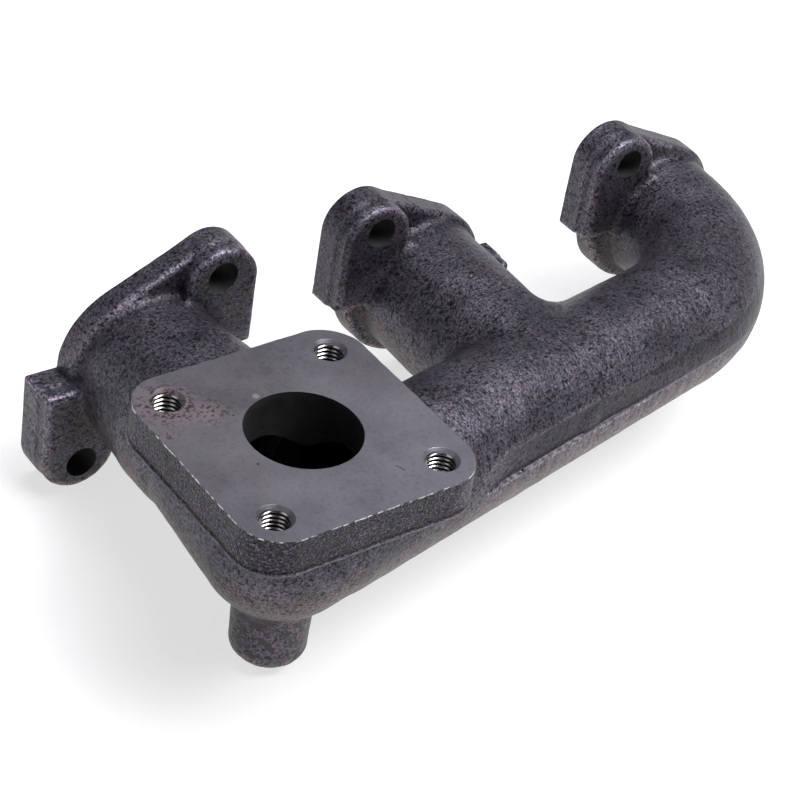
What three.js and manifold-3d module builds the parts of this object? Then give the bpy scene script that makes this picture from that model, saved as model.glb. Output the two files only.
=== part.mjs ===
// Exhaust manifold of a small three-cylinder engine: one grey-iron casting, with machined faces.
// Three side ports meet the cylinder head; a collector pipe leads their gas to a square outlet flange on top.
// The casting is modelled as its named regions, which meet face to face on flat planes.
//
// Frame while modelling, in millimetres: origin at the centre of the outlet bore on the outlet face,
// +X along the row of ports, +Y towards the cylinder head, +Z out of the outlet face.
// The finished group is moved so that its origin is the middle of the underside of its bounding box.

import * as THREE from "three";
import { mergeVertices } from "three/addons/utils/BufferGeometryUtils.js";
import Module from "manifold-3d";

const wasm = await Module();
wasm.setup();

// ---------- driving dimensions ----------

const WALL = 4.5; // thickness of the cast wall
const SIDES = 28; // facets round a pipe
const HOLE_SIDES = 20; // facets round a small hole
const OVERRUN = 5; // how far a cutter runs past the face that it opens

// outlet flange, square, with a central bore and four tapped holes (M8 x 1.25, shown at their minor diameter)
const OUTLET_SIDE = 68.6;
const OUTLET_CORNER = 12;
const OUTLET_THICKNESS = 11;
const OUTLET_BORE = 30;
const TAP_SPACING = 48.5;
const TAP_DIAMETER = 6.8;
const TAP_MOUTH = 9.4;
const NECK_RADIUS = 23;
const NECK_BOTTOM = -24; // the plane between the neck and the chamber below it

// ports, in a row along X, their flanges on one plane against the cylinder head
const PORT_COUNT = 3;
const PORT_PITCH = 91.7;
const FIRST_PORT_X = -0.7;
const PORT_HEIGHT = -27.6; // also the height of the collector's axis and of the mould's parting plane
const HEAD_Y = 78; // the machined face that meets the cylinder head
const PORT_BORE = 31;
const FLANGE_THICKNESS = 7.5;
const PAD_THICKNESS = 4.5; // raised pads round the stud holes
const DISC_RADIUS = 22.3;
const LUG_REACH = 31.6; // outer edge of a lug from the port's axis
const LUG_END_RADIUS = 11.2;
const LUG_END_HEIGHT = 21.7; // centre of a lug's round end above or below the port's axis
const STUD_HOLE = 9.2;
const STUD_HALF_SPAN = { x: 20, z: 24.4 };
const FLANGE_FRONT_Y = HEAD_Y - FLANGE_THICKNESS;
const PAD_FRONT_Y = FLANGE_FRONT_Y - PAD_THICKNESS;

// collector pipe: it leans towards the head, narrows on the way and ends in an elbow at the last port
const COLLECTOR_LEAN = THREE.MathUtils.degToRad(10.2);
const COLLECTOR_Y_AT_OUTLET = -4.6;
const COLLECTOR_RADIUS = { outlet: 21.3, elbow: 19.5 };
const ELBOW_RADIUS = 19.7;
const ELBOW_BEND = 45.2;
const ELBOW_LEAD_IN = 6;

// chamber under the outlet, where the collector starts and the first runner leads in
const CHAMBER = { x: -3.5, y: -2, z: -31, radius: 22 };

// runners to the first two ports; the first one swells on the way and is narrower again at its flange
const SWELL = { y: 42, radius: 23.3 };
const RUNNER_1_END_RADIUS = 20.6;
const RUNNER_2_RADIUS = 20.2;
const RUNNER_2_OFFSET = 2.2; // where it leaves the collector, towards the outlet

// solid boss under the outlet, on which the casting stands with its lower lugs
const BOSS = { x: -1.6, y: 0, bottom: -71.6, rootRadius: 10.9, footRadius: 10.4, edge: 2.5 };

// planes that part the regions of the casting
const CUT = {
  collectorStartX: 30,
  runner1Y: 28,
  junctionX: [64, 118],
  runner2Y: 38,
  elbowX: 145,
  runner3Y: 44,
  bossZ: -53.2,
};

// ---------- derived dimensions ----------

const portX = Array.from({ length: PORT_COUNT }, (_, i) => FIRST_PORT_X + i * PORT_PITCH);
const lastPortX = portX[PORT_COUNT - 1];
const collectorY = (x) => COLLECTOR_Y_AT_OUTLET + x * Math.tan(COLLECTOR_LEAN);
const bendCentreX = lastPortX - ELBOW_BEND;
const bendStartX = bendCentreX + ELBOW_BEND * Math.sin(COLLECTOR_LEAN);
const bendCentreY = collectorY(bendStartX) + ELBOW_BEND * Math.cos(COLLECTOR_LEAN);
const FAR = 400; // half-size of a cutting box, larger than the casting
const { collectorStartX, runner1Y, junctionX, runner2Y, elbowX, runner3Y, bossZ } = CUT;

// ---------- solids ----------

function solidOf(geometry) {
  const bare = geometry.clone();
  bare.deleteAttribute("normal");
  bare.deleteAttribute("uv");
  const merged = mergeVertices(bare, 1e-4);
  return new wasm.Manifold(
    new wasm.Mesh({
      numProp: 3,
      vertProperties: merged.attributes.position.array,
      triVerts: Uint32Array.from(merged.index.array),
    }),
  );
}

function geometryOf(solid) {
  const mesh = solid.getMesh();
  const geometry = new THREE.BufferGeometry();
  geometry.setAttribute("position", new THREE.BufferAttribute(mesh.vertProperties, 3));
  geometry.setIndex(new THREE.BufferAttribute(mesh.triVerts, 1));
  geometry.computeVertexNormals();
  return geometry;
}

const joined = (solids) => solids.reduce((all, next) => all.add(next));

// a round bar or cone between two points
function bar(from, to, fromRadius, toRadius = fromRadius, sides = SIDES) {
  const axis = new THREE.Vector3().subVectors(to, from);
  const geometry = new THREE.CylinderGeometry(toRadius, fromRadius, axis.length(), sides);
  const up = new THREE.Vector3(0, 1, 0);
  geometry.applyQuaternion(new THREE.Quaternion().setFromUnitVectors(up, axis.clone().normalize()));
  geometry.translate(...from.clone().lerp(to, 0.5).toArray());
  return solidOf(geometry);
}

function ball(centre, radius) {
  const geometry = new THREE.SphereGeometry(radius, SIDES, SIDES / 2);
  geometry.rotateX(Math.PI / 2);
  geometry.translate(...centre.toArray());
  return solidOf(geometry);
}

// a box given by its two extreme corners; what is left out reaches past the casting
function box({ x = [-FAR, FAR], y = [-FAR, FAR], z = [-FAR, FAR] }) {
  const geometry = new THREE.BoxGeometry(x[1] - x[0], y[1] - y[0], z[1] - z[0]);
  geometry.translate((x[0] + x[1]) / 2, (y[0] + y[1]) / 2, (z[0] + z[1]) / 2);
  return solidOf(geometry);
}

// ---------- outlet flange ----------

function roundedSquare(side, corner) {
  const h = side / 2;
  const c = h - corner;
  const shape = new THREE.Shape();
  shape.moveTo(-c, -h);
  shape.lineTo(c, -h);
  shape.absarc(c, -c, corner, -Math.PI / 2, 0);
  shape.lineTo(h, c);
  shape.absarc(c, c, corner, 0, Math.PI / 2);
  shape.lineTo(-c, h);
  shape.absarc(-c, c, corner, Math.PI / 2, Math.PI);
  shape.lineTo(-h, -c);
  shape.absarc(-c, -c, corner, Math.PI, 1.5 * Math.PI);
  return shape;
}

// the flange before it is drilled, from its underside up
function outletBlank(height) {
  const plate = new THREE.ExtrudeGeometry(roundedSquare(OUTLET_SIDE, OUTLET_CORNER), {
    depth: height,
    bevelEnabled: false,
    curveSegments: 6,
  });
  plate.translate(0, 0, -OUTLET_THICKNESS);
  return solidOf(plate);
}

function outletFlange() {
  let solid = outletBlank(OUTLET_THICKNESS);
  const mouthDepth = (TAP_MOUTH - TAP_DIAMETER) / 2;
  for (const sx of [-1, 1]) {
    for (const sy of [-1, 1]) {
      const at = (z) => new THREE.Vector3((sx * TAP_SPACING) / 2, (sy * TAP_SPACING) / 2, z);
      const drill = bar(
        at(-OUTLET_THICKNESS - OVERRUN),
        at(OVERRUN),
        TAP_DIAMETER / 2,
        TAP_DIAMETER / 2,
        HOLE_SIDES,
      );
      const mouth = bar(
        at(-mouthDepth),
        at(mouthDepth),
        TAP_DIAMETER / 2,
        TAP_MOUTH / 2 + mouthDepth,
        HOLE_SIDES,
      );
      solid = solid.subtract(drill).subtract(mouth);
    }
  }
  return solid.subtract(gasWay());
}

// ---------- pipes ----------

const onPortAxis = (i, y) => new THREE.Vector3(portX[i], y, PORT_HEIGHT);

// the elbow's centre line: a short straight, the bend, and a short straight into the last flange
function elbowLine(endY) {
  const lean = new THREE.Vector3(Math.cos(COLLECTOR_LEAN), Math.sin(COLLECTOR_LEAN), 0);
  const bendStart = new THREE.Vector3(bendStartX, collectorY(bendStartX), PORT_HEIGHT);
  const bendEnd = new THREE.Vector3(lastPortX, bendCentreY, PORT_HEIGHT);
  const turn = Math.PI / 2 - COLLECTOR_LEAN;
  const handle = (4 / 3) * Math.tan(turn / 4) * ELBOW_BEND;
  const line = new THREE.CurvePath();
  line.add(new THREE.LineCurve3(bendStart.clone().addScaledVector(lean, -ELBOW_LEAD_IN), bendStart));
  line.add(
    new THREE.CubicBezierCurve3(
      bendStart,
      bendStart.clone().addScaledVector(lean, handle),
      bendEnd.clone().add(new THREE.Vector3(0, -handle, 0)),
      bendEnd,
    ),
  );
  line.add(new THREE.LineCurve3(bendEnd, new THREE.Vector3(lastPortX, endY, PORT_HEIGHT)));
  return line;
}

function elbow(radius, endY) {
  const section = new THREE.Shape().absarc(0, 0, radius, 0, 2 * Math.PI);
  const geometry = new THREE.ExtrudeGeometry(section, {
    steps: 14,
    curveSegments: SIDES / 2,
    bevelEnabled: false,
    extrudePath: elbowLine(endY),
  });
  return solidOf(geometry);
}

// the outside of the pipes, or their inside where inset is the wall's thickness
function pipes(inset, portEndY) {
  const chamber = new THREE.Vector3(CHAMBER.x, CHAMBER.y, CHAMBER.z);
  const collectorStart = new THREE.Vector3(CHAMBER.x, collectorY(CHAMBER.x), PORT_HEIGHT);
  const collectorEnd = new THREE.Vector3(bendStartX, collectorY(bendStartX), PORT_HEIGHT);
  const swell = onPortAxis(0, SWELL.y);
  const runner2 = onPortAxis(1, collectorY(portX[1]));
  runner2.x -= RUNNER_2_OFFSET;
  const { outlet, elbow: atElbow } = COLLECTOR_RADIUS;
  return joined([
    ball(chamber, CHAMBER.radius - inset),
    bar(collectorStart, collectorEnd, outlet - inset, atElbow - inset),
    elbow(ELBOW_RADIUS - inset, portEndY),
    bar(chamber, swell, CHAMBER.radius - inset, SWELL.radius - inset),
    ball(swell, SWELL.radius - 0.3 - inset),
    bar(swell, onPortAxis(0, portEndY), SWELL.radius - inset, RUNNER_1_END_RADIUS - inset),
    bar(runner2, onPortAxis(1, portEndY), RUNNER_2_RADIUS - inset),
  ]);
}

// everything that the gas flows through, run out past the faces that it opens
function gasWay() {
  const bore = bar(
    new THREE.Vector3(0, 0, PORT_HEIGHT),
    new THREE.Vector3(0, 0, OVERRUN),
    OUTLET_BORE / 2,
  );
  const ports = portX.map((_, i) =>
    bar(onPortAxis(i, PAD_FRONT_Y), onPortAxis(i, HEAD_Y + OVERRUN), PORT_BORE / 2),
  );
  return joined([pipes(WALL, FLANGE_FRONT_Y - 1), bore, ...ports]);
}

// ---------- port flanges ----------

// Outline of a port flange seen from the engine's side away from the head, with X to the right and Z up:
// a disc round the port and two lugs, one up and one down, that look the same turned by half a turn.
// hand is 1 where the upper lug lies towards +X and -1 where it lies towards -X.
function portOutline(hand) {
  const endX = LUG_REACH - LUG_END_RADIUS;
  const between = Math.hypot(endX, LUG_END_HEIGHT);
  const towardsPort = Math.atan2(-LUG_END_HEIGHT, endX);
  const tangent = towardsPort + Math.acos((LUG_END_RADIUS - DISC_RADIUS) / between);
  const points = [];
  for (const half of [0, Math.PI]) {
    const corner = new THREE.Vector2(-LUG_REACH, 0);
    const end = new THREE.Path().absarc(-endX, LUG_END_HEIGHT, LUG_END_RADIUS, Math.PI, tangent, true);
    const disc = new THREE.Path().absarc(0, 0, DISC_RADIUS, tangent, 0, true);
    const stretch = [corner, ...end.getPoints(8), ...disc.getPoints(6)];
    points.push(...stretch.map((p) => p.rotateAround(new THREE.Vector2(), half)));
  }
  const turned = points.map((p) => new THREE.Vector2(-hand * p.x, p.y));
  return new THREE.Shape(turned);
}

// a plate of the flange's outline between two planes of constant y
function portPlate(i, fromY, toY) {
  const hand = i === 0 ? 1 : -1;
  const geometry = new THREE.ExtrudeGeometry(portOutline(hand), {
    depth: toY - fromY,
    bevelEnabled: false,
  });
  geometry.rotateX(Math.PI / 2);
  geometry.translate(portX[i], toY, PORT_HEIGHT);
  return solidOf(geometry);
}

function studHoles(i) {
  const hand = i === 0 ? 1 : -1;
  const holes = [1, -1].map((up) => {
    const x = portX[i] + hand * up * STUD_HALF_SPAN.x;
    const z = PORT_HEIGHT + up * STUD_HALF_SPAN.z;
    return bar(
      new THREE.Vector3(x, PAD_FRONT_Y - OVERRUN, z),
      new THREE.Vector3(x, HEAD_Y + OVERRUN, z),
      STUD_HOLE / 2,
      STUD_HOLE / 2,
      HOLE_SIDES,
    );
  });
  return joined(holes);
}

// the raised pad round a stud hole: as wide as the lug's round end, from the shoulder to that end
function studPad(i, up) {
  const hand = i === 0 ? 1 : -1;
  const shape = new THREE.Shape();
  shape.moveTo(-LUG_END_RADIUS, 0);
  shape.lineTo(LUG_END_RADIUS, 0);
  shape.absarc(0, LUG_END_HEIGHT, LUG_END_RADIUS, 0, Math.PI);
  const geometry = new THREE.ExtrudeGeometry(shape, {
    depth: PAD_THICKNESS,
    bevelEnabled: false,
    curveSegments: 8,
  });
  geometry.rotateX(Math.PI / 2);
  geometry.translate(0, FLANGE_FRONT_Y, 0);
  if (up < 0) {
    geometry.applyMatrix4(new THREE.Matrix4().makeRotationY(Math.PI));
  }
  geometry.translate(portX[i] + hand * up * (LUG_REACH - LUG_END_RADIUS), 0, PORT_HEIGHT);
  return solidOf(geometry).subtract(pipes(0, FLANGE_FRONT_Y)).subtract(studHoles(i));
}

// the boss, up into the floor of the chamber
function supportBoss() {
  const { x, y, bottom, rootRadius, footRadius, edge } = BOSS;
  const profile = [
    new THREE.Vector2(0, bottom),
    new THREE.Vector2(footRadius - edge, bottom),
    new THREE.Vector2(footRadius - 0.3 * edge, bottom + 0.3 * edge),
    new THREE.Vector2(footRadius, bottom + edge),
    new THREE.Vector2(rootRadius, bossZ),
    new THREE.Vector2(rootRadius, PORT_HEIGHT),
    new THREE.Vector2(0, PORT_HEIGHT),
  ];
  const geometry = new THREE.LatheGeometry(profile, SIDES);
  geometry.rotateX(Math.PI / 2);
  geometry.translate(x, y, 0);
  return solidOf(geometry);
}

// ---------- the casting's regions ----------

const castIron = { color: 0x4d4850, roughness: 0.75, metalness: 0.35 };
const machinedIron = { color: 0x7b7a7f, roughness: 0.42, metalness: 0.8 };

const casting = new THREE.Group();
casting.name = "exhaust_manifold";

function addRegion(name, solid, finish = castIron) {
  const mesh = new THREE.Mesh(geometryOf(solid), new THREE.MeshStandardMaterial(finish));
  mesh.name = name;
  casting.add(mesh);
}

const outside = pipes(0, FLANGE_FRONT_Y);
const neck = bar(
  new THREE.Vector3(0, 0, PORT_HEIGHT),
  new THREE.Vector3(0, 0, -OUTLET_THICKNESS),
  NECK_RADIUS,
);
const hollow = gasWay();
const body = joined([outside, neck, supportBoss()])
  .subtract(hollow)
  .subtract(outletBlank(FAR))
  .intersect(box({ y: [-FAR, FLANGE_FRONT_Y] }));
const region = (name, limits) => addRegion(name, body.intersect(box(limits)));

addRegion("outlet_flange", outletFlange(), machinedIron);
region("outlet_neck", { x: [-FAR, collectorStartX], y: [-FAR, runner1Y], z: [NECK_BOTTOM, FAR] });
region("support_boss", { z: [-FAR, bossZ] });
region("outlet_chamber", { x: [-FAR, collectorStartX], y: [-FAR, runner1Y], z: [bossZ, NECK_BOTTOM] });
region("collector_front", { x: [collectorStartX, junctionX[0]], y: [-FAR, runner2Y] });
region("collector_junction", { x: junctionX, y: [-FAR, runner2Y] });
region("collector_rear", { x: [junctionX[1], elbowX] });
region("end_elbow", { x: [elbowX, FAR], y: [-FAR, runner3Y] });
region("port_runner_1", { x: [-FAR, collectorStartX], y: [runner1Y, FAR] });
region("port_runner_2", { x: junctionX, y: [runner2Y, FAR] });
region("port_runner_3", { x: [elbowX, FAR], y: [runner3Y, FAR] });

for (let i = 0; i < PORT_COUNT; i += 1) {
  const plate = portPlate(i, FLANGE_FRONT_Y, HEAD_Y).subtract(hollow).subtract(studHoles(i));
  addRegion(`port_flange_${i + 1}`, plate);
  addRegion(`stud_pad_${i + 1}_upper`, studPad(i, 1));
  addRegion(`stud_pad_${i + 1}_lower`, studPad(i, -1));
}



// ---------- origin: the middle of the underside of the bounding box ----------

casting.position.set(
  -(lastPortX + LUG_REACH - OUTLET_SIDE / 2) / 2,
  -(HEAD_Y - OUTLET_SIDE / 2) / 2,
  -BOSS.bottom,
);
casting.updateMatrixWorld(true);

export default casting;
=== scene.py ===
"""Looks of the exhaust manifold: its skin, machined faces, threads, materials, light and camera.

The skin is a distance field in millimetres, in the frame of the outlet bore: origin at the bore's
centre on the outlet face, +X along the ports, +Y towards the cylinder head, +Z out of the face.
"""

import math

import bpy
import numpy as np
from mathutils import Matrix, Vector


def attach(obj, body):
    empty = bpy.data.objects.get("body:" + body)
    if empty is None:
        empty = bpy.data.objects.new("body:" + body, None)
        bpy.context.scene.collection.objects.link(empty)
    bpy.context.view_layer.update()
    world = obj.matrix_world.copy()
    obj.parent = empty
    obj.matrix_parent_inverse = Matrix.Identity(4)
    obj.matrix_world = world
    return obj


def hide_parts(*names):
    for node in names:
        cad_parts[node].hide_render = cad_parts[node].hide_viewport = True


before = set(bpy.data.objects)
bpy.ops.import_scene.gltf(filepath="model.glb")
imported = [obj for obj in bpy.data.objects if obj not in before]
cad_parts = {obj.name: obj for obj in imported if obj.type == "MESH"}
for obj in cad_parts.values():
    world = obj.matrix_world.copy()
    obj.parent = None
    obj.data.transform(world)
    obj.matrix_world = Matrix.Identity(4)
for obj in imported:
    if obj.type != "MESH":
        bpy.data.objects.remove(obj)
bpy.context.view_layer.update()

TO_ROW = np.array([-90.0, -21.85, 71.6])  # from the modelling frame to the row's frame, mm
CELL = 0.6  # size of the lattice that the skin is drawn on, mm
LATTICE_SHIFT = 0.37  # keeps the lattice off the casting's own planes, in cells

# ---------- dimensions, mm ----------

PORT_X = [-0.7, 91.0, 182.7]  # the ports' axes
PORT_Z = -27.6
HEAD_Y = 78.0  # the faces against the cylinder head
FLANGE_Y = 70.5  # back of the port flanges
PAD_Y = 66.0  # back of the pads round the stud holes
LEAN = math.radians(10.2)  # between the collector and the row of ports
COLLECTOR_Y0 = -4.6
ELBOW_BEND = 45.2
BEND_X = PORT_X[2] - ELBOW_BEND
BEND_START_X = BEND_X + ELBOW_BEND * math.sin(LEAN)
BEND_Y = COLLECTOR_Y0 + BEND_START_X * math.tan(LEAN) + ELBOW_BEND * math.cos(LEAN)
WALL = 4.5
RUNNER_2_SHIFT = 2.2
RUNNER_2_RADIUS = 20.2
BORE_RADIUS = 15.0
PORT_RADIUS = 15.5
STUD_ACROSS, STUD_UP, STUD_RADIUS = 19.8, 24.6, 4.6
DISC_RADIUS = 22.3  # of a port flange, whose two lugs end in arcs
LUG_X, LUG_Z, LUG_RADIUS = 20.4, 21.7, 11.2
PLATE_HALF = 34.3
PLATE_CORNER = 12.0
PLATE_THICKNESS = 11.0
TAP_HALF = 24.25
TAP_RADIUS = 4.75  # of the hole that a thread's lining fills
BOSS_FOOT_Z = -71.6
PITS = [((-17.3, -6.1, 0), 0.35), ((-12.6, 12.2, 0), 0.3)]
PARTING_Z = PORT_Z + 1.2
ROUGH_WITHIN = 1.6  # roughness is worked out this close to a surface


def collector_y(x):
    return COLLECTOR_Y0 + x * math.tan(LEAN)


# ---------- distance fields: each returns distances and outward directions ----------


def unit(v):
    length = np.linalg.norm(v, axis=1) + 1e-9
    return length, v / length[:, None]


def bar(p, a, b, ra, rb=None):
    """A round bar from a to b, with round ends and a radius that changes evenly along it."""
    rb = ra if rb is None else rb
    a, b = np.array(a, p.dtype), np.array(b, p.dtype)
    t = np.clip((p - a) @ (b - a) / ((b - a) @ (b - a)), 0, 1)
    length, n = unit(p - a - t[:, None] * (b - a))
    return length - (ra + (rb - ra) * t), n


def bend(p, radius):
    """The elbow: a pipe along an arc in the plane of the ports' axes."""
    angle = np.clip(np.arctan2(p[:, 1] - BEND_Y, p[:, 0] - BEND_X), LEAN - math.pi / 2, 0)
    c = np.stack(
        [
            BEND_X + ELBOW_BEND * np.cos(angle),
            BEND_Y + ELBOW_BEND * np.sin(angle),
            np.full(len(p), PORT_Z, p.dtype),
        ],
        1,
    )
    length, n = unit(p - c)
    return length - radius, n


def nearest(fields):
    """A plain union."""
    d, n = fields[0]
    for d2, n2 in fields[1:]:
        closer = d2 < d
        d = np.where(closer, d2, d)
        n = np.where(closer[:, None], n2, n)
    return d, n


def blend(f1, f2, size):
    """A union with a fillet where the surfaces meet at an angle, and none where they run along."""
    (d1, n1), (d2, n2) = f1, f2
    k = size * np.clip(1.4 * (1 - (n1 * n2).sum(1)), 0.02, 1)
    h = np.maximum(k - np.abs(d1 - d2), 0) / k
    d = np.minimum(d1, d2) - h * h * k / 4
    w = np.where(d1 < d2, h / 2, 1 - h / 2)[:, None]
    return d, unit(n1 * (1 - w) + n2 * w)[1]


def soft_max(a, b, k):
    """An intersection with a rounded edge."""
    h = np.maximum(k - np.abs(a - b), 0) / k
    return np.maximum(a, b) + h * h * k / 4


def soft_min(a, b, k):
    return -soft_max(-a, -b, k)


HASH_X, HASH_Y, HASH_Z, HASH_SEED = 374761393, 668265263, 2246822519, 3266489917
MASK = 0xFFFFFFFF


def value_noise(p, size, seed):
    """Smooth noise from -1 to 1 with bumps about size across."""
    q = p / size + seed * 17.31
    i = np.floor(q)
    f = (q - i).astype(np.float32)
    f = f * f * (3 - 2 * f)
    i = i.astype(np.int64)
    total = np.zeros(len(p), np.float32)
    for dx in (0, 1):
        for dy in (0, 1):
            for dz in (0, 1):
                h = ((i[:, 0] + dx) * HASH_X + (i[:, 1] + dy) * HASH_Y) & MASK
                h = (h + (i[:, 2] + dz) * HASH_Z + seed * HASH_SEED) & MASK
                h = ((h ^ (h >> 15)) * HASH_Z) & MASK
                h = ((h ^ (h >> 13)) * HASH_SEED) & MASK
                value = ((h ^ (h >> 16)) & 0xFFFF).astype(np.float32) / 32767.5 - 1
                wx = f[:, 0] if dx else 1 - f[:, 0]
                wy = f[:, 1] if dy else 1 - f[:, 1]
                wz = f[:, 2] if dz else 1 - f[:, 2]
                total += value * wx * wy * wz
    return total


def roughened(p, d, amount=1.0):
    """Adds the sand's bumps and pits near a surface."""
    near = np.abs(d) < ROUGH_WITHIN
    q = p[near]
    bumps = 0.08 * value_noise(q, 5.3, 1) + 0.05 * value_noise(q, 2.3, 2)
    pits = 0.35 * np.maximum(value_noise(q, 2.0, 3) - 0.55, 0)
    out = d.copy()
    out[near] = d[near] + amount * (pits + bumps + 0.1)
    return out


# ---------- the casting ----------


def pipe_chain(p, inset):
    """Collector, elbow and the short straight into the last flange."""
    start_x = 6.0
    return nearest(
        [
            bar(
                p,
                (start_x, collector_y(start_x), PORT_Z),
                (BEND_START_X, collector_y(BEND_START_X), PORT_Z),
                21.2 - inset,
                19.6 - inset,
            ),
            bend(p, 19.7 - inset),
            bar(p, (PORT_X[2], BEND_Y, PORT_Z), (PORT_X[2], 90, PORT_Z), 19.8 - inset),
        ]
    )


def chamber_chain(p, inset):
    """The chamber under the outlet and the first runner, which swells on the way to its flange."""
    chamber, x = (-3.2, -1.8, -31), PORT_X[0]
    return nearest(
        [
            bar(p, chamber, (x, 46, PORT_Z), 21.9 - inset, 21.5 - inset),
            bar(p, (x, 37, PORT_Z), (x, 44, PORT_Z), 23.3 - inset),
            bar(p, (x, 44, PORT_Z), (x, 90, PORT_Z), 23.3 - inset, 18.5 - inset),
        ]
    )


def fettled(p, d):
    """A shallow ground flat along the collector, above the parting line; it fades at both ends."""
    out = (p[:, 0] * math.sin(LEAN) - (p[:, 1] - COLLECTOR_Y0) * math.cos(LEAN)).astype(p.dtype)
    radius = 21.2 - 1.6 * p[:, 0] / BEND_START_X
    tilt = math.radians(9)
    fade = np.clip((p[:, 0] - 95) / 40, 0, 1) + 3 * np.clip((58 - p[:, 0]) / 30, 0, 1)
    flat = (out - radius + 0.9 - fade) * math.cos(tilt) + (p[:, 2] - PARTING_Z) * math.sin(tilt)
    above = np.clip((p[:, 2] - PARTING_Z) / 0.35 + 0.5, 0, 1)
    return np.where(p[:, 0] > 5, np.maximum(d, flat - (1 - above) * 3), d)


def outline(p, hand):
    """The port flange's outline: a disc and two lugs, one up and one down, alike by half a turn."""
    x, z = p[:, 0], p[:, 1]
    d = np.hypot(x, z) - DISC_RADIUS
    if hand < 0:
        d -= 2.0 * np.clip(-x / 6, 0, 1) * np.clip(-z / 6, 0, 1)
    narrowing = math.asin((DISC_RADIUS - LUG_RADIUS) / math.hypot(LUG_X, LUG_Z))
    slope = math.atan2(LUG_Z, LUG_X) - narrowing
    half_width, half_height = (LUG_X + LUG_RADIUS) / 2, LUG_Z / 2
    for up in (1, -1):
        u, w = x * hand * up, z * up
        side = np.maximum(np.abs(u - half_width) - half_width, np.abs(w - half_height) - half_height)
        end = np.hypot(u - LUG_X, w - LUG_Z) - LUG_RADIUS
        along = u * math.cos(slope) + w * math.sin(slope)
        across = w * math.cos(slope) - u * math.sin(slope)
        web = np.maximum(np.maximum(across - DISC_RADIUS, -w), np.maximum(-along, along - 27.6))
        d = np.minimum(d, np.minimum(np.minimum(side, end), web))
    return d


def pad_outline(p, hand, up):
    """The raised pad round a stud hole."""
    u, w = p[:, 0] * hand * up, p[:, 1] * up
    d = np.hypot(u - LUG_X, w - np.clip(w, -50, LUG_Z)) - (LUG_RADIUS - 0.1)
    return soft_max(d, 0.1 - w, 0.8)


def port_flange(p, i):
    hand = 1 if i == 0 else -1
    q = np.stack([p[:, 0] - PORT_X[i], p[:, 2] - PORT_Z], 1)
    y = p[:, 1]
    d = soft_max(outline(q, hand), FLANGE_Y - y, 1.8)
    for up in (1, -1):
        pad = soft_max(pad_outline(q, hand, up), PAD_Y - y, 1.7)
        d = soft_min(d, pad, 1.0)
    return d


def runner_2(p, inset):
    start = (PORT_X[1] - RUNNER_2_SHIFT, collector_y(PORT_X[1]), PORT_Z)
    return bar(p, start, (PORT_X[1], FLANGE_Y, PORT_Z), RUNNER_2_RADIUS - inset)


def front_corner(p):
    """The swelling of the chamber under the outlet flange's front corner."""
    x, y, z = p[:, 0], p[:, 1], p[:, 2]
    d = np.hypot(x + 20.5, y + 20.5) - 10.2 - 0.8 * (z + PLATE_THICKNESS)
    return soft_max(soft_max(d, -19 - z, 6), z + 8, 0.5)


def boss(p):
    """The round boss under the chamber, a little wider at its foot."""
    z = p[:, 2]
    d = np.hypot(p[:, 0] + 1.6, p[:, 1]) - 10.9 - 0.5 * (z + 50) / 21.6
    return soft_max(soft_max(d, BOSS_FOOT_Z - z, 3.5), z + 30, 2)


def skin(p):
    """The outside of the casting below the outlet flange; parts out of reach are left out."""
    collector = pipe_chain(p, 0)
    field = (fettled(p, collector[0]), collector[1])
    low, high = p.min(0), p.max(0)
    if low[0] < 50:
        field = blend(field, chamber_chain(p, 0), 9)
    if high[0] > 50 and low[0] < 135:
        field = blend(field, runner_2(p, 0), 7)
    if low[0] < 50 and low[1] < 50:
        neck = bar(p, (-0.5, 0.5, PORT_Z), (-0.5, 0.5, 20), 22.6)
        field = blend(field, neck, 7)
    d = field[0]
    if low[0] < 50 and low[1] < 50:
        d = soft_min(d, front_corner(p), 6)
        d = soft_min(d, boss(p), 4.5)
    if high[1] > PAD_Y - 8:
        for i, x in enumerate(PORT_X):
            if low[0] < x + 45 and high[0] > x - 45:
                d = soft_min(d, port_flange(p, i), 3.2)
    return d


def cast_skin(p):
    return roughened(p, skin(p))


def hollow(p):
    """Minus the distance to the gas way's wall, so that it is positive inside the hollow."""
    field = pipe_chain(p, WALL)
    low, high = p[:, 0].min(), p[:, 0].max()
    if low < 50:
        field = blend(field, chamber_chain(p, WALL), 5)
    if high > 50 and low < 135:
        field = blend(field, runner_2(p, WALL), 5)
    d = field[0]
    for x in PORT_X:
        port = soft_max(np.hypot(p[:, 0] - x, p[:, 2] - PORT_Z) - PORT_RADIUS, 60 - p[:, 1], 4)
        d = soft_min(d, port, 2)
    return -roughened(p, d, 1.5)


def bore(p):
    """Positive inside the outlet bore."""
    return -np.maximum(np.hypot(p[:, 0], p[:, 1]) - BORE_RADIUS, PORT_Z + 1 - p[:, 2])


def stud_hole(i, up):
    hand = 1 if i == 0 else -1
    x, z = PORT_X[i] + hand * up * STUD_ACROSS, PORT_Z + up * STUD_UP

    def field(p):
        return STUD_RADIUS - np.hypot(p[:, 0] - x, p[:, 2] - z)

    return field


def plane(axis, sign, value):
    """Positive beyond a plane: sign 1 keeps what is below the value, -1 what is above it."""

    def field(p):
        return sign * (p[:, axis] - value)

    return field


def plate_outline(p):
    q = np.abs(p[:, :2]) - (PLATE_HALF - PLATE_CORNER)
    outside = np.hypot(np.maximum(q[:, 0], 0), np.maximum(q[:, 1], 0))
    return outside + np.minimum(np.maximum(q[:, 0], q[:, 1]), 0) - PLATE_CORNER


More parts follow.
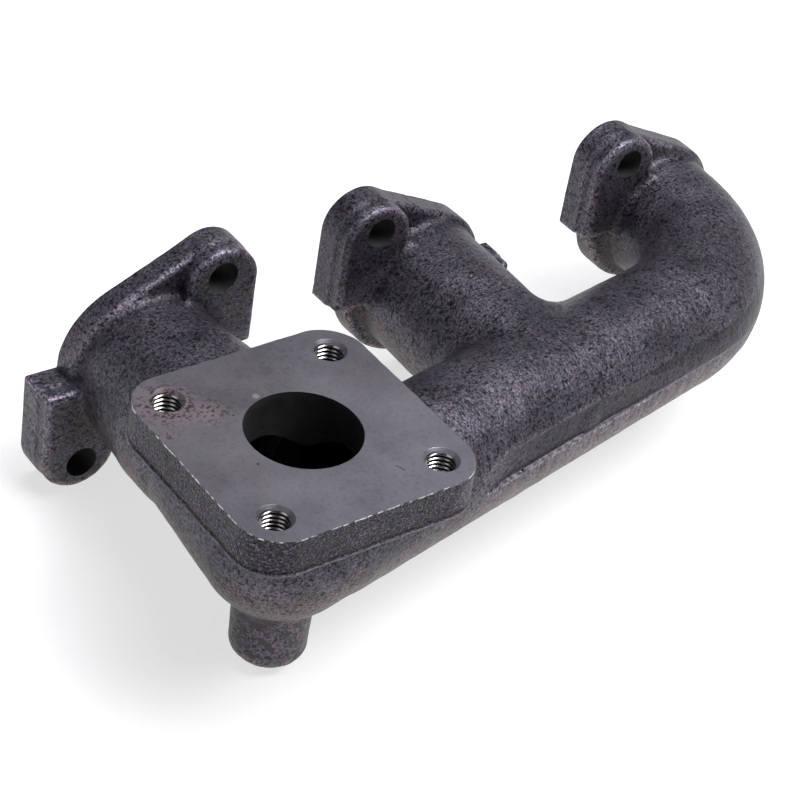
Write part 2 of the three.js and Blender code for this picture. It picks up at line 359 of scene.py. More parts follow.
def plate_side(p):
    """Side and underside of the outlet flange, with the flash left at its lower edge."""
    lower = -PLATE_THICKNESS - p[:, 2]
    side = plate_outline(p) + 0.45 + 0.02 * (p[:, 2] + PLATE_THICKNESS)
    side -= 0.42 * np.exp(-(((p[:, 2] + PLATE_THICKNESS - 0.4) / 0.32) ** 2))
    side += 0.25 * np.exp(-(((p[:, 2] + PLATE_THICKNESS - 1.3) / 0.4) ** 2))
    d = soft_max(side, lower, 0.5)
    near = np.abs(d) < ROUGH_WITHIN
    out = d.copy()
    q = p[near]
    out[near] += 0.09 * value_noise(q, 3.1, 4) + 0.07 * value_noise(q, 1.5, 5) + 0.08
    return out


def tapped_hole(sx, sy):
    def field(p):
        return TAP_RADIUS - np.hypot(p[:, 0] - sx * TAP_HALF, p[:, 1] - sy * TAP_HALF)

    return field


# ---------- drawing a field as a mesh ----------


def gradient(field, p, step):
    g = np.zeros((len(p), 3))
    for a in range(3):
        e = np.zeros(3, p.dtype)
        e[a] = step
        g[:, a] = (field(p + e) - field(p - e)) / (2 * step)
    return g


def sharpness(p):
    """How convex the skin is at each point, per mm: positive on edges, negative in fillets."""
    total = -6 * skin(p)
    for a in range(3):
        e = np.zeros(3)
        e[a] = 1.0
        total += skin(p + e) + skin(p - e)
    return total


def place_corners(fields, v, centre, cell):
    """Moves each cell's vertex onto the surface, or onto the edge or corner in its cell."""
    for reach in (0.7, 0.4, 0.15, 0.03):
        values = np.stack([f(v) for f in fields], 1)
        active = values > values.max(1, keepdims=True) - reach * cell
        rows = np.zeros((len(v), len(fields), 3))
        for k, f in enumerate(fields):
            m = active[:, k]
            if m.any():
                rows[m, k] = gradient(f, v[m], 0.05)
        b = -np.where(active, values, 0)
        square = np.einsum("nia,nja->nij", rows, rows) + 0.02 * np.eye(len(fields))
        x = np.linalg.solve(square, b[..., None])[..., 0]
        v = v + np.einsum("nia,ni->na", rows, x)
        v = np.clip(v, centre - 0.55 * cell, centre + 0.55 * cell)
    return v


def draw(fields, low, high, cell):
    """Vertices, quads, the field each quad lies on, and each quad corner's normal."""
    i0 = np.floor(np.array(low) / cell).astype(int) - 2
    i1 = np.ceil(np.array(high) / cell).astype(int) + 2
    axes = [(np.arange(i0[a], i1[a] + 1) + LATTICE_SHIFT) * cell for a in range(3)]
    grid = np.stack(np.meshgrid(*axes, indexing="ij"), -1)
    shape = grid.shape[:3]
    p = grid.reshape(-1, 3)
    value = np.max([f(p) for f in fields], 0).reshape(shape)
    inside = value < 0
    cells = tuple(n - 1 for n in shape)
    total = np.zeros(cells + (3,))
    count = np.zeros(cells)
    quads = []
    number = np.arange(np.prod(cells)).reshape(cells)
    for a in range(3):
        b, c = (a + 1) % 3, (a + 2) % 3
        first = [slice(None)] * 3
        second = [slice(None)] * 3
        first[a], second[a] = slice(0, -1), slice(1, None)
        v0, v1 = value[tuple(first)], value[tuple(second)]
        cross = inside[tuple(first)] != inside[tuple(second)]
        t = np.where(cross, v0 / np.where(cross, v0 - v1, 1), 0)
        point = grid[tuple(first)].copy()
        point[..., a] += t * cell
        for db in (0, 1):
            for dc in (0, 1):
                src = [slice(None)] * 3
                src[b] = slice(1, None) if db else slice(0, -1)
                src[c] = slice(1, None) if dc else slice(0, -1)
                part = cross[tuple(src)]
                total += np.where(part[..., None], point[tuple(src)], 0)
                count += part
        e = np.argwhere(cross)
        e = e[(e[:, b] > 0) & (e[:, c] > 0) & (e[:, b] < cells[b]) & (e[:, c] < cells[c])]
        loop = []
        for db, dc in ((-1, -1), (0, -1), (0, 0), (-1, 0)):
            at = e.copy()
            at[:, b] += db
            at[:, c] += dc
            loop.append(number[at[:, 0], at[:, 1], at[:, 2]])
        loop = np.stack(loop, 1)
        outward = inside[tuple(first)][e[:, 0], e[:, 1], e[:, 2]]
        quads.append(np.where(outward[:, None], loop, loop[:, ::-1]))
    quads = np.concatenate(quads)
    used, quads = np.unique(quads, return_inverse=True)
    quads = quads.reshape(-1, 4)
    where = np.stack(np.unravel_index(used, cells), 1)
    v = total.reshape(-1, 3)[used] / count.reshape(-1)[used][:, None]
    centre = np.stack([axes[a][where[:, a]] for a in range(3)], 1) + cell / 2
    v = place_corners(fields, v, centre, cell)
    middle = v[quads].mean(1)
    owner = np.argmax([f(middle) for f in fields], 0)
    normals = np.zeros((len(quads), 4, 3))
    for k, f in enumerate(fields):
        faces = np.flatnonzero(owner == k)
        if len(faces):
            ids, back = np.unique(quads[faces], return_inverse=True)
            g = gradient(f, v[ids], 0.25)
            g /= np.linalg.norm(g, axis=1, keepdims=True) + 1e-9
            normals[faces] = g[back.reshape(-1, 4)]
    return v, quads, owner, normals


def make_mesh(name, v, quads, slots, normals, materials):
    """A Blender mesh from vertices in the modelling frame."""
    me = bpy.data.meshes.new(name)
    me.vertices.add(len(v))
    me.vertices.foreach_set("co", ((v + TO_ROW) / 1000).astype(np.float32).ravel())
    me.loops.add(quads.size)
    me.loops.foreach_set("vertex_index", quads.astype(np.int32).ravel())
    me.polygons.add(len(quads))
    starts = np.arange(0, quads.size, quads.shape[1])
    me.polygons.foreach_set("loop_start", starts.astype(np.int32))
    for m in materials:
        me.materials.append(m)
    me.polygons.foreach_set("material_index", np.asarray(slots, np.int32))
    me.polygons.foreach_set("use_smooth", np.ones(len(quads), bool))
    me.update(calc_edges=True)
    if normals is not None:
        me.normals_split_custom_set(normals.reshape(-1, 3).tolist())
    obj = bpy.data.objects.new(name, me)
    bpy.context.scene.collection.objects.link(obj)
    return obj


# ---------- materials ----------


def new_material(name):
    material = bpy.data.materials.new(name)
    material.use_nodes = True
    tree = material.node_tree
    return material, tree.nodes, tree.links, tree.nodes["Principled BSDF"]


def noise_node(nodes, links, size_mm, detail, seed, stretch=(1, 1, 1)):
    """Noise in the object's own space, with bumps about size_mm across."""
    where = nodes.new("ShaderNodeTexCoord")
    scale = nodes.new("ShaderNodeMapping")
    links.new(where.outputs["Object"], scale.inputs["Vector"])
    scale.inputs["Scale"].default_value = [1000 * k / size_mm for k in stretch]
    scale.inputs["Location"].default_value = (seed * 3.7, seed * 5.1, seed * 1.3)
    node = nodes.new("ShaderNodeTexNoise")
    node.inputs["Scale"].default_value = 1
    node.inputs["Detail"].default_value = detail
    links.new(scale.outputs["Vector"], node.inputs["Vector"])
    return node.outputs["Fac"]


def ramp(nodes, links, value, stops):
    node = nodes.new("ShaderNodeValToRGB")
    elements = node.color_ramp.elements
    while len(elements) < len(stops):
        elements.new(0.5)
    for element, (at, colour) in zip(elements, stops):
        element.position = at
        element.color = (*colour, 1) if hasattr(colour, "__len__") else (colour,) * 3 + (1,)
    links.new(value, node.inputs["Fac"])
    return node.outputs["Color"]


def mix(nodes, links, kind, factor, a, b):
    node = nodes.new("ShaderNodeMix")
    node.data_type = "RGBA"
    node.blend_type = kind
    for socket, value in ((node.inputs["Factor"], factor), (node.inputs["A"], a), (node.inputs["B"], b)):
        if isinstance(value, bpy.types.NodeSocket):
            links.new(value, socket)
        elif hasattr(value, "__len__"):
            socket.default_value = (*value, 1)
        else:
            socket.default_value = value
    return node.outputs["Result"]


def math_node(nodes, links, operation, *values):
    node = nodes.new("ShaderNodeMath")
    node.operation = operation
    for socket, value in zip(node.inputs, values):
        if isinstance(value, bpy.types.NodeSocket):
            links.new(value, socket)
        else:
            socket.default_value = value
    return node.outputs["Value"]


def bump(nodes, links, shader, heights):
    """Stacks bumps: each is a height and how deep it is in millimetres."""
    normal = None
    for height, depth in heights:
        node = nodes.new("ShaderNodeBump")
        node.inputs["Strength"].default_value = 1
        node.inputs["Distance"].default_value = depth / 1000
        links.new(height, node.inputs["Height"])
        if normal is not None:
            links.new(normal, node.inputs["Normal"])
        normal = node.outputs["Normal"]
    links.new(normal, shader.inputs["Normal"])


def separate(nodes, links, vector):
    node = nodes.new("ShaderNodeSeparateXYZ")
    links.new(vector, node.inputs["Vector"])
    return node.outputs["X"], node.outputs["Y"], node.outputs["Z"]


def position(nodes, links):
    """Where a point is, in millimetres in the modelling frame."""
    where = nodes.new("ShaderNodeTexCoord")
    shift = nodes.new("ShaderNodeMapping")
    links.new(where.outputs["Object"], shift.inputs["Vector"])
    shift.inputs["Scale"].default_value = (1000, 1000, 1000)
    shift.inputs["Location"].default_value = [-k for k in TO_ROW]
    return shift.outputs["Vector"]


def spot(nodes, links, point, centre, radius, soft):
    """1 within a radius of a centre, fading to 0."""
    away = nodes.new("ShaderNodeVectorMath")
    away.operation = "DISTANCE"
    links.new(point, away.inputs[0])
    away.inputs[1].default_value = centre
    far = math_node(nodes, links, "SUBTRACT", away.outputs["Value"], radius)
    return math_node(nodes, links, "MULTIPLY_ADD", far, -1 / soft, 0.5)


def clamp01(nodes, links, value):
    node = nodes.new("ShaderNodeClamp")
    links.new(value, node.inputs["Value"])
    return node.outputs["Result"]


def between(nodes, links, value, low, high, soft):
    """1 where a value lies between two limits, fading to 0 outside them."""
    above = math_node(nodes, links, "MULTIPLY_ADD", value, 1 / soft, 0.5 - low / soft)
    below = math_node(nodes, links, "MULTIPLY_ADD", value, -1 / soft, 0.5 + high / soft)
    above, below = clamp01(nodes, links, above), clamp01(nodes, links, below)
    return math_node(nodes, links, "MULTIPLY", above, below)


def cast_iron(name, coarse):
    """The sand-cast skin; the sides of the outlet flange are coarser and carry a painted highlight along
    their top edge, broken up like nicks.
    """
    material, nodes, links, shader = new_material(name)
    point = position(nodes, links)
    x, y, z = separate(nodes, links, point)
    geometry = nodes.new("ShaderNodeNewGeometry")
    _, facing_y, facing_up = separate(nodes, links, geometry.outputs["Normal"])
    fine = noise_node(nodes, links, 0.36, 2, 1)
    grain = noise_node(nodes, links, 0.62 if coarse else 0.72, 2, 5)
    sand = noise_node(nodes, links, 1.7, 4, 2)
    cloud = noise_node(nodes, links, 24, 4, 3)
    patch = noise_node(nodes, links, 7, 5, 4)
    dark, light = (0.06, 0.056, 0.073), (0.094, 0.0865, 0.11)
    base = ramp(nodes, links, cloud, [(0.35, dark), (0.65, light)])
    if coarse:
        base = mix(nodes, links, "MULTIPLY", 1, base, (0.68, 0.68, 0.7))
        stops = [(0.38, 0.1), (0.47, 0.45), (0.56, 0.75), (0.66, 2.3)]
    else:
        stops = [(0.38, 0.3), (0.45, 0.88), (0.58, 1.05), (0.69, 1.75)]
    base = mix(nodes, links, "MULTIPLY", 1, base, ramp(nodes, links, grain, stops))
    dust = ramp(nodes, links, fine, [(0.34, 0.6), (0.48, 1.0), (0.66, 1.35)])
    base = mix(nodes, links, "MULTIPLY", 1, base, dust)
    dots = ramp(nodes, links, noise_node(nodes, links, 1.15, 2, 21), [(0.38, 0.16), (0.42, 1.0)])
    base = mix(nodes, links, "MULTIPLY", 1, base, dots)
    # painted highlight on convex edges, partly edge wear, and painted shade in fillets, from the
    # convexity stored on the mesh
    edges = nodes.new("ShaderNodeAttribute")
    edges.attribute_name = "wear_and_sheen"
    edges = math_node(nodes, links, "MULTIPLY_ADD", edges.outputs["Fac"], 0.5, 0.5)
    sheen_shade_and_wear = ramp(nodes, links, edges, [(0, 0.6), (0.5, 1.0), (1, 1.9)])
    base = mix(nodes, links, "MULTIPLY", 1, base, sheen_shade_and_wear)
    blotch = ramp(nodes, links, patch, [(0.33, 0.74), (0.5, 1.0), (0.7, 1.14)])
    base = mix(nodes, links, "MULTIPLY", 1, base, blotch)
    rust = ramp(nodes, links, sand, [(0.6, 0.0), (0.68, 1.0)])
    rusty = mix(nodes, links, "MULTIPLY", 1, base, (1.3, 0.88, 0.92))
    base = mix(nodes, links, "MIX", rust, base, rusty)
    # painted bounce light: faces turned down are made lighter and warmer
    down = math_node(nodes, links, "MULTIPLY_ADD", facing_up, -0.5, 0.5)
    under = ramp(nodes, links, down, [(0.46, 0.0), (0.62, 1.0)])
    bounce_lit_tint = mix(nodes, links, "MULTIPLY", 1, base, (1.18, 1.06, 0.88))
    base = mix(nodes, links, "MIX", under, base, bounce_lit_tint)
    if coarse:
        flash = between(nodes, links, z, 0.1 - PLATE_THICKNESS, 0.75 - PLATE_THICKNESS, 0.25)
        # painted highlight along the plate's top edge, broken up by noise like nicks in it
        edge_glint_and_nicks = between(nodes, links, z, -0.35, 0.5, 0.25)
        wear_and_sheen = ramp(nodes, links, noise_node(nodes, links, 2.0, 4, 6), [(0.48, 0.0), (0.6, 1.0)])
        edge_glint_and_nicks = math_node(nodes, links, "MULTIPLY", edge_glint_and_nicks, wear_and_sheen)
        flash = math_node(nodes, links, "MULTIPLY", flash, 0.45)
        base = mix(nodes, links, "MIX", flash, base, (0.27, 0.25, 0.27))
        base = mix(nodes, links, "MIX", edge_glint_and_nicks, base, (0.8, 0.79, 0.82))
    else:
        outward = between(nodes, links, facing_y, -2, -0.1, 0.3)
        along = between(nodes, links, x, 62, 240, 22)
        on_side = math_node(nodes, links, "MULTIPLY", outward, along)
        on_side = math_node(nodes, links, "MULTIPLY", on_side, between(nodes, links, y, -60, 42, 8))
        # painted shade: the ground flat above the parting line on the collector's front side is darkened
        shaded_flat = between(nodes, links, z, PARTING_Z, PARTING_Z + 7.5, 0.5)
        shaded_flat = math_node(nodes, links, "MULTIPLY", shaded_flat, on_side)
        shaded_flat_colour = mix(nodes, links, "MULTIPLY", 1, base, (0.46, 0.44, 0.45))
        base = mix(nodes, links, "MIX", shaded_flat, base, shaded_flat_colour)
        # painted bounce light on the band below the parting line, with real vertical streaks in it
        pale = between(nodes, links, z, PARTING_Z - 12, PARTING_Z, 0.5)
        pale = math_node(nodes, links, "MULTIPLY", pale, on_side)
        streaks_and_bounce_light = noise_node(nodes, links, 1.6, 3, 22, (1, 1, 0.08))
        streaks_and_bounce_light = ramp(nodes, links, streaks_and_bounce_light, [(0.36, (0.8, 0.78, 0.76)), (0.6, (1.6, 1.58, 1.55))])
        bounce_lit_streaks = mix(nodes, links, "MULTIPLY", 1, base, streaks_and_bounce_light)
        base = mix(nodes, links, "MIX", pale, base, bounce_lit_streaks)
        seam = between(nodes, links, z, PARTING_Z - 0.35, PARTING_Z + 0.25, 0.3)
        seam = math_node(nodes, links, "MULTIPLY", seam, on_side)
        seam = math_node(nodes, links, "MULTIPLY", seam, 0.3)
        base = mix(nodes, links, "MIX", seam, base, (0.32, 0.3, 0.32))
        spots = between(nodes, links, z, -80, -52, 5)
        drops = ramp(nodes, links, noise_node(nodes, links, 3.2, 3, 11), [(0.52, 0.0), (0.6, 1.0)])
        spots = math_node(nodes, links, "MULTIPLY", spots, drops)
        spots = math_node(nodes, links, "MULTIPLY", spots, 0.85)
        base = mix(nodes, links, "MIX", spots, base, (0.035, 0.031, 0.033))
    links.new(base, shader.inputs["Base Color"])
    shader.inputs["Metallic"].default_value = 0.6
    rough = ramp(nodes, links, patch, [(0.3, 0.4), (0.7, 0.5)])
    links.new(rough, shader.inputs["Roughness"])
    bump(nodes, links, shader, [(sand, 0.24), (grain, 0.55 if coarse else 0.17), (fine, 0.06)])
    return material


def machined_iron():
    """The milled outlet face, with rust round one hole, a pit, a scratch and a bright nick near the
    bore.
    """
    material, nodes, links, shader = new_material("machined_iron")
    cloud = noise_node(nodes, links, 20, 5, 7)
    haze = noise_node(nodes, links, 38, 3, 18)
    lines = noise_node(nodes, links, 0.35, 3, 8, (0.05, 1, 0.05))
    fine = noise_node(nodes, links, 1.1, 5, 9)
    dots = noise_node(nodes, links, 0.9, 2, 10)
    base = ramp(nodes, links, cloud, [(0.32, (0.148, 0.145, 0.168)), (0.68, (0.236, 0.231, 0.265))])
    warm = mix(nodes, links, "MULTIPLY", 1, base, (0.95, 0.9, 0.84))
    base = mix(nodes, links, "MIX", ramp(nodes, links, haze, [(0.42, 0.0), (0.62, 0.8)]), base, warm)
    base = mix(nodes, links, "MULTIPLY", 1, base, ramp(nodes, links, fine, [(0.3, 0.84), (0.5, 1.0)]))
    point = position(nodes, links)
    stain = None
    for centre, radius, soft in (((-25, 23, 0), 8, 5), ((-17, 16, 0), 4, 6), ((-31, 12, 0), 1.5, 4)):
        here = clamp01(nodes, links, spot(nodes, links, point, centre, radius, soft))
        stain = here if stain is None else math_node(nodes, links, "MAXIMUM", stain, here)
    veil = mix(nodes, links, "MULTIPLY", 1, base, (0.86, 0.72, 0.72))
    base = mix(nodes, links, "MIX", math_node(nodes, links, "MULTIPLY", stain, 0.7), base, veil)
    dotted = ramp(nodes, links, dots, [(0.54, 0.0), (0.59, 1.0)])
    rust = math_node(nodes, links, "MULTIPLY", stain, dotted)
    base = mix(nodes, links, "MIX", rust, base, (0.045, 0.022, 0.026))
    for centre, radius in PITS:
        pit = clamp01(nodes, links, spot(nodes, links, point, centre, radius, 0.3))
        base = mix(nodes, links, "MIX", pit, base, (0.04, 0.035, 0.04))
    nick = clamp01(nodes, links, spot(nodes, links, point, (-3.4, 16.2, 0), 0.9, 0.5))
    nick = math_node(nodes, links, "MULTIPLY", nick, 0.45)
    base = mix(nodes, links, "MIX", nick, base, (0.5, 0.49, 0.51))
    x, y, _ = separate(nodes, links, point)
    across = math_node(nodes, links, "MULTIPLY_ADD", y, 0.47, x)
    scratch = between(nodes, links, across, 2.45, 2.8, 0.3)
    length = between(nodes, links, y, -23.6, -21.1, 0.6)
    scratch = math_node(nodes, links, "MULTIPLY", scratch, length)
    base = mix(nodes, links, "MIX", scratch, base, (0.07, 0.06, 0.07))
    links.new(base, shader.inputs["Base Color"])
    metal = math_node(nodes, links, "MULTIPLY_ADD", stain, -0.35, 0.75)
    links.new(metal, shader.inputs["Metallic"])
    links.new(ramp(nodes, links, fine, [(0.3, 0.4), (0.7, 0.48)]), shader.inputs["Roughness"])
    bump(nodes, links, shader, [(lines, 0.008), (fine, 0.012)])
    return material


def cut_thread():
    material, nodes, links, shader = new_material("cut_thread")
    shade = noise_node(nodes, links, 1.2, 3, 12)
    base = ramp(nodes, links, shade, [(0.3, (0.34, 0.32, 0.33)), (0.7, (0.56, 0.53, 0.54))])
    links.new(base, shader.inputs["Base Color"])
    shader.inputs["Metallic"].default_value = 1.0
    shader.inputs["Roughness"].default_value = 0.2
    bump(nodes, links, shader, [(shade, 0.015)])
    return material


def hole_shade():
    """Walls of the bore, the ports and the stud holes: metal darkened to near black as painted shade."""
    material, nodes, links, shader = new_material("hole_wall_shade")
    cloud = noise_node(nodes, links, 6, 4, 14)
    rings = noise_node(nodes, links, 0.4, 2, 15)
    base = ramp(nodes, links, cloud, [(0.3, (0.014, 0.014, 0.015)), (0.7, (0.034, 0.033, 0.034))])
    links.new(base, shader.inputs["Base Color"])
    shader.inputs["Specular IOR Level"].default_value = 0.2
    shader.inputs["Roughness"].default_value = 0.7
    bump(nodes, links, shader, [(rings, 0.03)])
    return material


def soot_and_shade():
    """The inside of the gas way: soot, darkened to near black as painted shade."""
    material, nodes, links, shader = new_material("inside_skin")
    sand = noise_node(nodes, links, 2.0, 4, 17)
    base = ramp(nodes, links, sand, [(0.35, (0.003, 0.003, 0.003)), (0.65, (0.008, 0.008, 0.008))])
    links.new(base, shader.inputs["Base Color"])
    shader.inputs["Specular IOR Level"].default_value = 0.1
    shader.inputs["Roughness"].default_value = 0.85
    bump(nodes, links, shader, [(sand, 0.3)])
    return material


CAST, PLATE_CAST = cast_iron("cast_iron_skin", False), cast_iron("flange_side_skin", True)
MACHINED, HOLE_SHADE, SOOT_AND_SHADE, THREAD = machined_iron(), hole_shade(), soot_and_shade(), cut_thread()

# ---------- pieces ----------

HEAD_FACE = plane(1, 1, HEAD_Y)
OUTLET_FACE = plane(2, 1, 0.0)

# the planes that part the casting, and the ring outside which the stud pads begin
FRONT_X, JUNCTION_X, REAR_X, ELBOW_X = 30, 64, 118, 145
CHAMBER_Y, COLLECTOR_Y, ELBOW_Y, SPLIT_Y = 28, 38, 44, 69.7
NECK_Z, BOSS_Z = -24, -53.2
PAD_REGION_Y = 60
RING = 22.6


def finish_of(field, machined, holes):
    """Which material a field's surface has, in the order skin, machined, hole walls in painted shade,
    inside in soot and painted shade.
    """
    if field is hollow:
        return 3
    if field in holes:
        return 2
    return 1 if field in machined else 0


def piece(name, fields, low, high, machined=(), holes=(), cell=CELL):
    """Draws a region of the casting, inside the box from low to high, in place of its CAD node."""
    v, quads, owner, normals = draw(fields, low, high, cell)
    finish = np.array([finish_of(f, machined, holes) for f in fields])
    skin_material = PLATE_CAST if name == "outlet_flange" else CAST
    surfaces = [skin_material, MACHINED, HOLE_SHADE, SOOT_AND_SHADE]
    obj = make_mesh(name, v, quads, finish[owner], normals, surfaces)
    if fields[0] is cast_skin:
        # from -1 in a fillet to 1 on an edge: painted shade in fillets, painted highlight with some wear
        # on edges
        edges = np.clip(2.2 * (sharpness(v) - 0.07), -1, 1).astype(np.float32)
        obj.data.attributes.new("wear_and_sheen", "FLOAT", "POINT").data.foreach_set("value", edges)
    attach(obj, "root")
    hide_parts(name)


def limits(x=None, y=None, z=None):
    """The planes that bound a region."""
    found = []
    for axis, pair in enumerate((x, y, z)):
        if pair:
            low, high = pair
            found += [plane(axis, -1, low)] if low is not None else []
            found += [plane(axis, 1, high)] if high is not None else []
    return found


def clear_of_pads(i):
    """Keeps a runner inside the ring where the pads begin."""

    def field(p):
        out = np.hypot(p[:, 0] - PORT_X[i], p[:, 2] - PORT_Z) - RING
        return np.minimum(out, p[:, 1] - PAD_REGION_Y)

    return field


def outside_ring(i):
    def field(p):
        return RING - np.hypot(p[:, 0] - PORT_X[i], p[:, 2] - PORT_Z)

    return field


# name, the z planes below and above, and how far it reaches towards -x and -y
UNDER_OUTLET = [
    ("outlet_neck", NECK_Z, -PLATE_THICKNESS, -34),
    ("outlet_chamber", BOSS_Z, NECK_Z, -28),
]
for name, low_z, high_z, reach in UNDER_OUTLET:
    piece(
        name,
        [cast_skin, hollow, bore, *limits((None, FRONT_X), (None, CHAMBER_Y), (low_z, high_z))],
        (reach, reach, low_z),
        (FRONT_X, CHAMBER_Y, high_z),
        holes=[bore],
    )
piece(
    "support_boss",
    [cast_skin, *limits(z=(None, BOSS_Z))],
    (-16, -14, BOSS_FOOT_Z),
    (13, 14, BOSS_Z),
)

# name, the x planes, the y plane and the rest of the box
COLLECTOR = [
    ("collector_front", (FRONT_X, JUNCTION_X), COLLECTOR_Y, (-24, COLLECTOR_Y), JUNCTION_X),
    ("collector_junction", (JUNCTION_X, REAR_X), COLLECTOR_Y, (-18, COLLECTOR_Y), REAR_X),
    ("collector_rear", (REAR_X, ELBOW_X), None, (-8, ELBOW_Y), ELBOW_X),
    ("end_elbow", (ELBOW_X, None), ELBOW_Y, (-2, ELBOW_Y), 203),
]
for name, x_limits, y_limit, (south, north), east in COLLECTOR:
    piece(
        name,
        [cast_skin, hollow, *limits(x_limits, (None, y_limit))],
        (x_limits[0], south, -50),
        (east, north, -5),
    )

# the x planes, the y plane where it starts, and its box along x
RUNNERS = [
    ((None, FRONT_X), CHAMBER_Y, -26, 28),
    ((JUNCTION_X, REAR_X), COLLECTOR_Y, JUNCTION_X, 116),
    ((ELBOW_X, None), ELBOW_Y, ELBOW_X, 206),
]
for i, (x_limits, start, west, east) in enumerate(RUNNERS):
    number = i + 1
    piece(
        f"port_runner_{number}",
        [cast_skin, hollow, clear_of_pads(i), *limits(x_limits, (start, SPLIT_Y))],
        (west, start, -54),
        (east, SPLIT_Y, -2),
    )
    holes = {up: stud_hole(i, up) for up in (1, -1)}
    west, east = PORT_X[i] - 33, PORT_X[i] + 33
    piece(
        f"port_flange_{number}",
        [cast_skin, hollow, *holes.values(), plane(1, -1, SPLIT_Y), HEAD_FACE],
        (west, SPLIT_Y, -62),
        (east, HEAD_Y, 7),
        machined=[HEAD_FACE],
        holes=list(holes.values()),
    )
    for up, end in ((1, "upper"), (-1, "lower")):
        to_east = up * (1 if i == 0 else -1) > 0
        x_limits = (PORT_X[i], None) if to_east else (None, PORT_X[i])
        piece(
            f"stud_pad_{number}_{end}",
            [cast_skin, holes[up], outside_ring(i), *limits(x_limits, (PAD_REGION_Y, SPLIT_Y))],
            (PORT_X[i] if to_east else west, PAD_REGION_Y, -29 if up > 0 else -62),
            (east if to_east else PORT_X[i], SPLIT_Y, 7 if up > 0 else -24),
            holes=[holes[up]],
        )

# outlet flange, with its threads
taps = [tapped_hole(sx, sy) for sx in (-1, 1) for sy in (-1, 1)]
piece(
    "outlet_flange",
    [plate_side, OUTLET_FACE, bore, *taps],
    (-36, -36, -12),
    (36, 36, 0.5),
    machined=[OUTLET_FACE],
    holes=[bore, *taps],
    cell=0.8 * CELL,
)


def thread_sleeve(sx, sy):
    """An M8 x 1.25 internal thread with a countersunk mouth, as the lining of its hole."""
    pitch, minor, major, mouth, outer = 1.25, 3.35, 4.0, 4.74, 4.9
    start, mouth_end = -0.03, -1.0
    around, steps = 72, 150
    z = start - np.linspace(0, 1, steps) * (PLATE_THICKNESS + start)
    angle = np.arange(around) * 2 * math.pi / around
    turn = (z[:, None] / pitch + angle[None] / (2 * math.pi)) % 1
    wave = np.clip(2.6 * np.abs(turn - 0.5) - 0.25, 0, 1)
    r = major + (minor - major) * wave
    r = np.maximum(r, mouth + 0.9 * (z[:, None] - start))
    inner = np.stack(
        [r * np.cos(angle)[None], r * np.sin(angle)[None], np.repeat(z[:, None], around, 1)], -1
    )
    rim = np.stack([outer * np.cos(angle), outer * np.sin(angle)], -1)
    top = np.concatenate([rim, np.full((around, 1), z[0])], 1)[None]
    bottom = np.concatenate([rim, np.full((around, 1), z[-1])], 1)[None]
    rings = np.concatenate([inner, bottom, top], 0)
    rings += np.array([sx * TAP_HALF, sy * TAP_HALF, 0])
    count = len(rings)
    a = np.arange(count)[:, None] * around + np.arange(around)[None]
    b = np.arange(count)[:, None] * around + (np.arange(around) + 1)[None] % around
    a2, b2 = np.roll(a, -1, 0), np.roll(b, -1, 0)
    quads = np.stack([a, a2, b2, b], -1).reshape(-1, 4)
    # 0 on the crests, 1 in the valleys, dark as painted shade, and round the outside, 2 in the mouth
    finish = np.zeros((count, around), int)
    finish[: steps - 1] = (wave[:-1] < 0.4) & (z[:-1, None] < mouth_end)
    finish[steps - 1 :] = 1
    finish[: (z > mouth_end).sum()] = 2
    return rings.reshape(-1, 3), quads, finish.reshape(-1)


for sx in (-1, 1):
    for sy in (-1, 1):
        v, quads, finish = thread_sleeve(sx, sy)
        side = "left" if sx < 0 else "right"
        end = "front" if sy < 0 else "rear"
        surfaces = [THREAD, HOLE_SHADE, MACHINED]
        lining = make_mesh(f"tapped_hole_{side}_{end}", v, quads, finish, None, surfaces)
        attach(lining, "root")

# ---------- camera, floor and light ----------

# where the photograph was taken from, in the modelling frame, and its directions right and up
eye = np.array([-281.02, -343.19, 347.74])
right = Vector((0.80213, -0.57969, 0.14335)).normalized()
up = Vector((0.26376, 0.55930, 0.78588)).normalized()
camera = bpy.data.objects.new("camera", bpy.data.cameras.new("camera"))
bpy.context.scene.collection.objects.link(camera)
turn = Matrix((right, up, right.cross(up))).transposed()
camera.matrix_world = Matrix.Translation((eye + TO_ROW) / 1000) @ turn.to_4x4()
camera.data.lens = 104.25
camera.data.sensor_width = 36
camera.data.clip_start = 0.01
bpy.context.scene.camera = camera


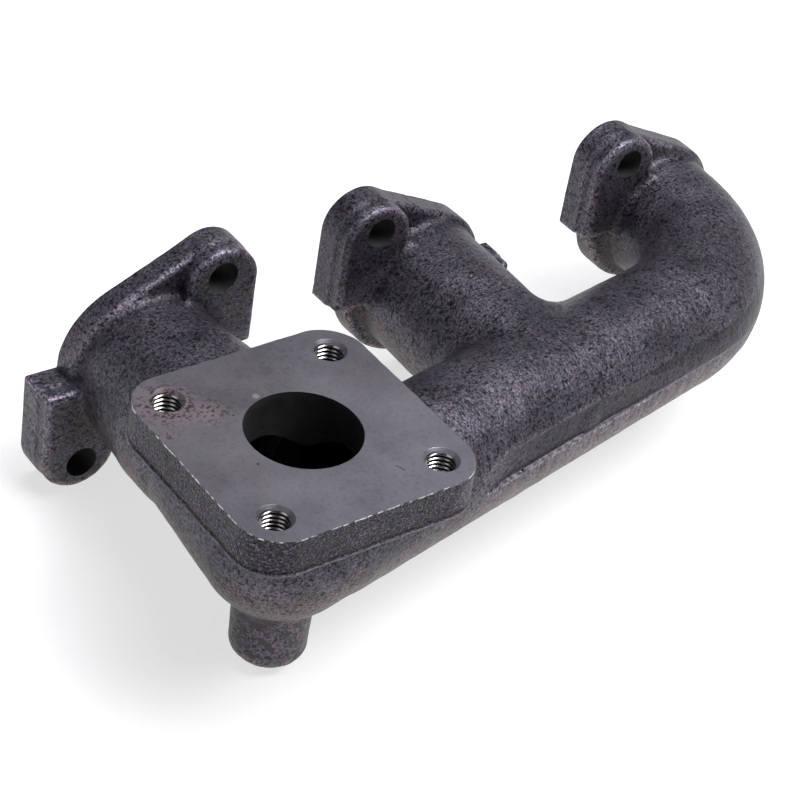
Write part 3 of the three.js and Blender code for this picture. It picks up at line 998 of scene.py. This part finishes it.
def floor():
    """A pale floor on which the casting stands on its boss and its lower lugs."""
    boss_touch_y, lug_touch_y = TO_ROW[1] + 9.5, TO_ROW[1] + HEAD_Y
    lug_height = PORT_Z - LUG_Z - LUG_RADIUS - BOSS_FOOT_Z
    slope = math.atan2(lug_height, lug_touch_y - boss_touch_y)
    half_size, gap = 6.0, 0.0004
    me = bpy.data.meshes.new("floor")
    corners = [(x * half_size, y * half_size, 0) for x, y in ((-1, -1), (1, -1), (1, 1), (-1, 1))]
    me.from_pydata(corners, [], [(0, 1, 2, 3)])
    obj = bpy.data.objects.new("floor", me)
    bpy.context.scene.collection.objects.link(obj)
    place = Matrix.Translation((0, boss_touch_y / 1000, -gap))
    obj.matrix_world = place @ Matrix.Rotation(slope, 4, "X")
    material, nodes, links, shader = new_material("pale_floor")
    shade = noise_node(nodes, links, 400, 2, 20)
    colour = ramp(nodes, links, shade, [(0.3, (0.42, 0.42, 0.424)), (0.7, (0.45, 0.45, 0.454))])
    links.new(colour, shader.inputs["Base Color"])
    shader.inputs["Roughness"].default_value = 0.9
    shader.inputs["Emission Color"].default_value = (1, 1, 1, 1)
    shader.inputs["Emission Strength"].default_value = 0.66
    me.materials.append(material)


floor()


BOX_SIZE, BOX_DISTANCE, BOX_AIM_Z = 0.9, 1.6, 0.04  # metres


def softbox(name, azimuth, elevation, power, colour):
    """An area light that looks at the casting, from +X towards +Y and up, in degrees."""
    a, e = math.radians(azimuth), math.radians(elevation)
    light = bpy.data.lights.new(name, "AREA")
    light.shape = "RECTANGLE"
    light.size, light.size_y = BOX_SIZE, BOX_SIZE
    light.energy = power
    light.color = colour
    obj = bpy.data.objects.new(name, light)
    bpy.context.scene.collection.objects.link(obj)
    n = Vector((math.cos(a) * math.cos(e), math.sin(a) * math.cos(e), math.sin(e))).normalized()
    obj.location = n * BOX_DISTANCE + Vector((0, 0, BOX_AIM_Z))
    obj.rotation_euler = n.to_track_quat("Z", "Y").to_euler()


# name, azimuth and elevation in degrees, power in watts, colour
BOXES = [
    ("key", -50, 65, 33.0, (1.0, 0.97, 1.0)),
    ("front", -80, 62, 1.5, (1.0, 0.98, 1.0)),
    ("top", 60, 80, 11.5, (0.93, 0.94, 1.0)),
    ("rim_left", 172, 42, 2.0, (0.95, 0.95, 1.0)),
]
for box in BOXES:
    softbox(*box)

world = bpy.data.worlds.new("studio")
bpy.context.scene.world = world
world.use_nodes = True
nodes, links = world.node_tree.nodes, world.node_tree.links
direction = nodes.new("ShaderNodeTexCoord").outputs["Generated"]
_, _, height = separate(nodes, links, direction)
# pale near the horizon and dark above
shades = [(0.0, (0.62, 0.62, 0.63)), (0.13, (0.45, 0.45, 0.46)), (0.3, (0.03, 0.03, 0.03))]
sky = ramp(nodes, links, height, shades)
links.new(sky, nodes["Background"].inputs["Color"])
nodes["Background"].inputs["Strength"].default_value = 1.0
bpy.context.scene.view_settings.view_transform = "Standard"
